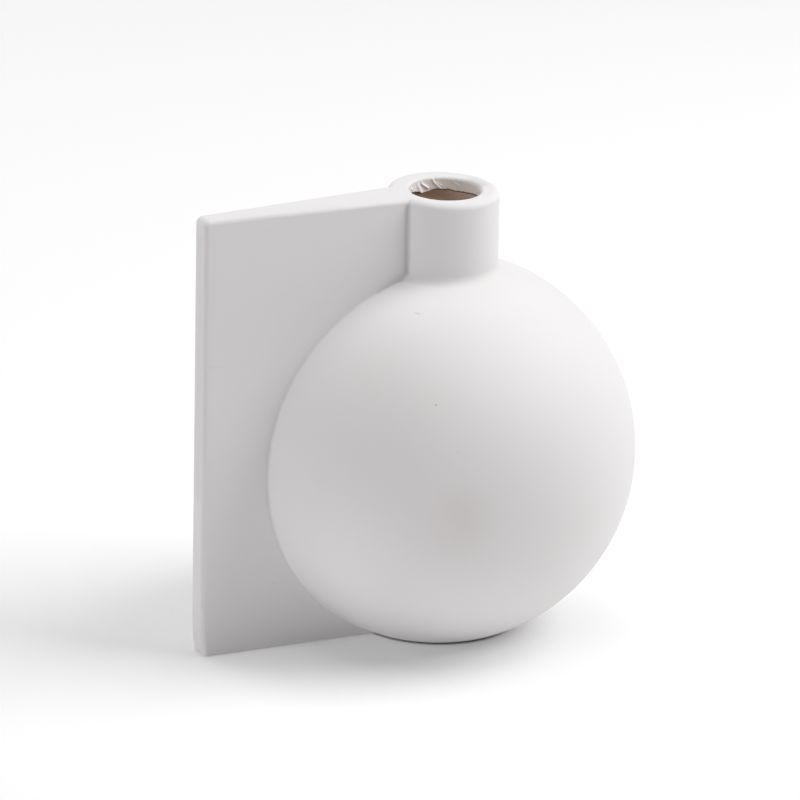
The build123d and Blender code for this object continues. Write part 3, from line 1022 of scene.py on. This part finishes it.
class VASE_OT_ball(Operator):
    """Turns the upper dome and the lower bowl of the ball"""

    bl_idname = "vase.ball"
    bl_label = "Ball"

    def execute(self, context):
        sizes = context.scene.vase_sizes
        for name, profile in (("ball_upper_dome", dome_profile), ("ball_lower_bowl", bowl_profile)):
            piece = turned_piece("coated_" + name, profile(sizes), sizes, coat(), clay())
            settle(piece, "white_ceramic", name)
        return {"FINISHED"}


class VASE_OT_neck(Operator):
    """Turns the neck with its rounded rim"""

    bl_idname = "vase.neck"
    bl_label = "Neck"

    def execute(self, context):
        sizes = context.scene.vase_sizes
        piece = turned_piece("coated_neck", neck_profile(sizes), sizes, coat(), clay())
        settle(piece, "white_ceramic", "neck_collar")
        return {"FINISHED"}


class VASE_OT_mouth_film(Operator):
    """Lays the coat that laps over the lip into the mouth and ends in a torn edge"""

    bl_idname = "vase.mouth_film"
    bl_label = "Coat in the mouth"

    def execute(self, context):
        sizes = context.scene.vase_sizes
        settle(mouth_film(sizes, "coat_film_in_mouth", coat()), "white_ceramic")
        return {"FINISHED"}


class VASE_OT_slab(Operator):
    """Builds the two face walls of the slab and the three strips that close it"""

    bl_idname = "vase.slab"
    bl_label = "Slab"

    def execute(self, context):
        sizes = context.scene.vase_sizes
        for name, side in (("slab_front_wall", -1), ("slab_back_wall", 1)):
            settle(slab_wall(sizes, side, "coated_" + name, coat()), "white_ceramic", name)
        top = sizes.rim_height
        depth = sizes.strip_depth
        for name, low, high in (("slab_top_strip", top - depth, top), ("slab_bottom_strip", 0.0, depth)):
            settle(closing_strip(sizes, "coated_" + name, low, high, coat()), "white_ceramic", name)
        settle(end_strip(sizes, "coated_slab_end_strip", coat()), "white_ceramic", "slab_end_strip")
        return {"FINISHED"}


class VASE_OT_beads(Operator):
    """Lays the two beads of slip between slab and vessel"""

    bl_idname = "vase.beads"
    bl_label = "Seam beads"

    def execute(self, context):
        sizes = context.scene.vase_sizes
        tree = seam_bead_tree()
        for name, side in (("seam_bead_front", -1), ("seam_bead_back", 1)):
            lines = [line_object(name + "_line", line) for line in bead_lines(sizes, side)]
            values = {"Section Steps": BEAD_STEPS, "Coat": coat(), **dict(zip(BEAD_LINES, lines))}
            settle(piece_from_tree("coated_" + name, tree, values, lines), "white_ceramic", name)
        return {"FINISHED"}


class VASE_OT_pad(Operator):
    """Turns the felt pad under the foot"""

    bl_idname = "vase.pad"
    bl_label = "Felt pad"

    def execute(self, context):
        sizes = context.scene.vase_sizes
        felt = vase_material("pressed_felt", felt_material)
        settle(turned_piece("felt_foot_pad", pad_profile(sizes), sizes, felt, felt), "felt_pad", "foot_pad")
        return {"FINISHED"}


# The photograph's view: turn, tilt and roll of the camera in degrees, and its frame and long lens in pixels
VIEW_TURN = 26.78
VIEW_TILT = 19.02
VIEW_ROLL = 1.05
FRAME_PIXELS = 800.0
FOCAL_PIXELS = 8437.0
SENSOR_WIDTH = 36.0

# The ball's middle in that frame, the pixels that a metre takes up there, and the camera's distance from it
BALL_IN_FRAME = (438.22, 445.79)
PIXELS_IN_METRE = 2465.2
VIEW_DISTANCE = FOCAL_PIXELS / PIXELS_IN_METRE


def place_camera(sizes):
    """Sets the camera at the photograph's viewing angle, with the ball at its place in the frame."""
    turn, tilt, roll = (math.radians(angle) for angle in (VIEW_TURN, VIEW_TILT, VIEW_ROLL))
    forward = Vector((math.sin(turn) * math.cos(tilt), math.cos(turn) * math.cos(tilt), -math.sin(tilt)))
    level = Vector((math.cos(turn), -math.sin(turn), 0))
    upright = level.cross(forward)
    right = math.cos(roll) * level + math.sin(roll) * upright
    up = math.cos(roll) * upright - math.sin(roll) * level
    across = (BALL_IN_FRAME[0] - FRAME_PIXELS / 2) / FOCAL_PIXELS
    down = (BALL_IN_FRAME[1] - FRAME_PIXELS / 2) / FOCAL_PIXELS
    eye = Vector((0, 0, sizes.ball_height)) - VIEW_DISTANCE * (forward + across * right - down * up)
    camera = in_scene("camera", bpy.data.cameras.new("camera"))
    camera.data.sensor_width = SENSOR_WIDTH
    camera.data.lens = FOCAL_PIXELS / FRAME_PIXELS * SENSOR_WIDTH
    camera.data.clip_end = 100
    camera.matrix_world = Matrix((right, up, -forward)).transposed().to_4x4()
    camera.matrix_world.translation = eye
    bpy.context.scene.camera = camera


# The studio's soft lights: degrees round the vase from +X, degrees up, and width in metres
STUDIO_LIGHTS = {
    "key": (338, 45, 1.8),
    "top": (0, 90, 2.0),
    "left_fill": (190, 14, 1.6),
    "back_fill": (108, 20, 1.6),
}
LIGHT_DISTANCE = 2.2
LIGHT_AIM = (0, 0, 0.09)


def soft_light(name, round_vase, up, width, power):
    """A soft light that looks at the vase and isn't seen itself."""
    lamp = bpy.data.lights.new(name, "AREA")
    lamp.energy = power
    lamp.shape = "DISK"
    lamp.size = width
    turn, rise = math.radians(round_vase), math.radians(up)
    way = Vector((math.cos(rise) * math.cos(turn), math.cos(rise) * math.sin(turn), math.sin(rise)))
    light = in_scene(name, lamp)
    light.location = Vector(LIGHT_AIM) + LIGHT_DISTANCE * way
    light.rotation_euler = way.to_track_quat("Z", "Y").to_euler()
    light.visible_camera = False


def white_surround():
    """A white background that is seen but sheds no light."""
    world = bpy.data.worlds.new("studio")
    world.use_nodes = True
    background = world.node_tree.nodes["Background"]
    background.inputs["Color"].default_value = (1, 1, 1, 1)
    tree = Tree(world.node_tree)
    tree.connect(background.inputs["Strength"], tree.add("ShaderNodeLightPath").outputs["Is Camera Ray"])
    bpy.context.scene.world = world


def floor_material(stage):
    """Plain matte floor with a faint light from below, which ends under the foot."""
    material, tree, shader, place = new_material("pale_floor")
    set_inputs(shader, Base_Color=(*stage.floor, 1.0), Roughness=1.0, Specular_IOR_Level=0.0)
    set_inputs(shader, Emission_Color=(1, 1, 1, 1))
    from_axis = tree.vector("DISTANCE", place, (0.0, 0.0, 0.0))
    foot = bpy.context.scene.vase_sizes.foot_radius
    glow = ramp(tree, from_axis, foot - 0.5 * MM, foot + 1 * MM, end=stage.floor_glow)
    tree.connect(shader.inputs["Emission Strength"], glow)
    return material


# Radius of the floor in metres, and the steps round it
FLOOR_RADIUS = 7.0
FLOOR_STEPS = 96


def lay_floor(stage):
    """A wide round floor just below the vase."""
    ring = []
    for step in range(FLOOR_STEPS):
        turn = math.tau * step / FLOOR_STEPS
        ring.append((FLOOR_RADIUS * math.cos(turn), FLOOR_RADIUS * math.sin(turn), -stage.floor_drop))
    mesh = bpy.data.meshes.new("floor")
    mesh.from_pydata(ring, [], [tuple(range(FLOOR_STEPS))])
    mesh.materials.append(floor_material(stage))
    in_scene("floor", mesh)


class VASE_OT_stage(Operator):
    """Lays the pale floor and sets the studio light and the camera"""

    bl_idname = "vase.stage"
    bl_label = "Stage"

    def execute(self, context):
        stage = context.scene.vase_stage
        lay_floor(stage)
        white_surround()
        for name, (round_vase, up, width) in STUDIO_LIGHTS.items():
            soft_light(name, round_vase, up, width, getattr(stage, name))
        context.scene.view_settings.view_transform = "Standard"
        place_camera(context.scene.vase_sizes)
        return {"FINISHED"}


class VASE_PT_panel(Panel):
    """Steps and settings of the vase"""

    bl_idname = "VASE_PT_panel"
    bl_label = "Ball vase"
    bl_space_type = "VIEW_3D"
    bl_region_type = "UI"
    bl_category = "Vase"

    def draw(self, context):
        layout = self.layout
        for operator in OPERATORS:
            layout.operator(operator.bl_idname)
        for group in (context.scene.vase_sizes, context.scene.vase_finish, context.scene.vase_stage):
            box = layout.box()
            for name in group.bl_rna.properties.keys():
                if name not in ("rna_type", "name"):
                    box.prop(group, name)


GROUPS = {"vase_sizes": VaseSizes, "vase_finish": VaseFinish, "vase_stage": VaseStage}
OPERATORS = (
    VASE_OT_ball,
    VASE_OT_neck,
    VASE_OT_mouth_film,
    VASE_OT_slab,
    VASE_OT_beads,
    VASE_OT_pad,
    VASE_OT_stage,
)


def register():
    """Registers the settings, the steps and the panel."""
    for group in GROUPS.values():
        bpy.utils.register_class(group)
    for name, group in GROUPS.items():
        setattr(bpy.types.Scene, name, PointerProperty(type=group))
    for operator in OPERATORS:
        bpy.utils.register_class(operator)
    bpy.utils.register_class(VASE_PT_panel)


def unregister():
    """Takes the panel, the steps and the settings away again."""
    bpy.utils.unregister_class(VASE_PT_panel)
    for operator in reversed(OPERATORS):
        bpy.utils.unregister_class(operator)
    for name in GROUPS:
        delattr(bpy.types.Scene, name)
    for group in reversed(GROUPS.values()):
        bpy.utils.unregister_class(group)


def main():
    """Runs every step in order."""
    register()
    for operator in OPERATORS:
        group, name = operator.bl_idname.split(".")
        getattr(getattr(bpy.ops, group), name)()


if __name__ == "__main__":
    main()
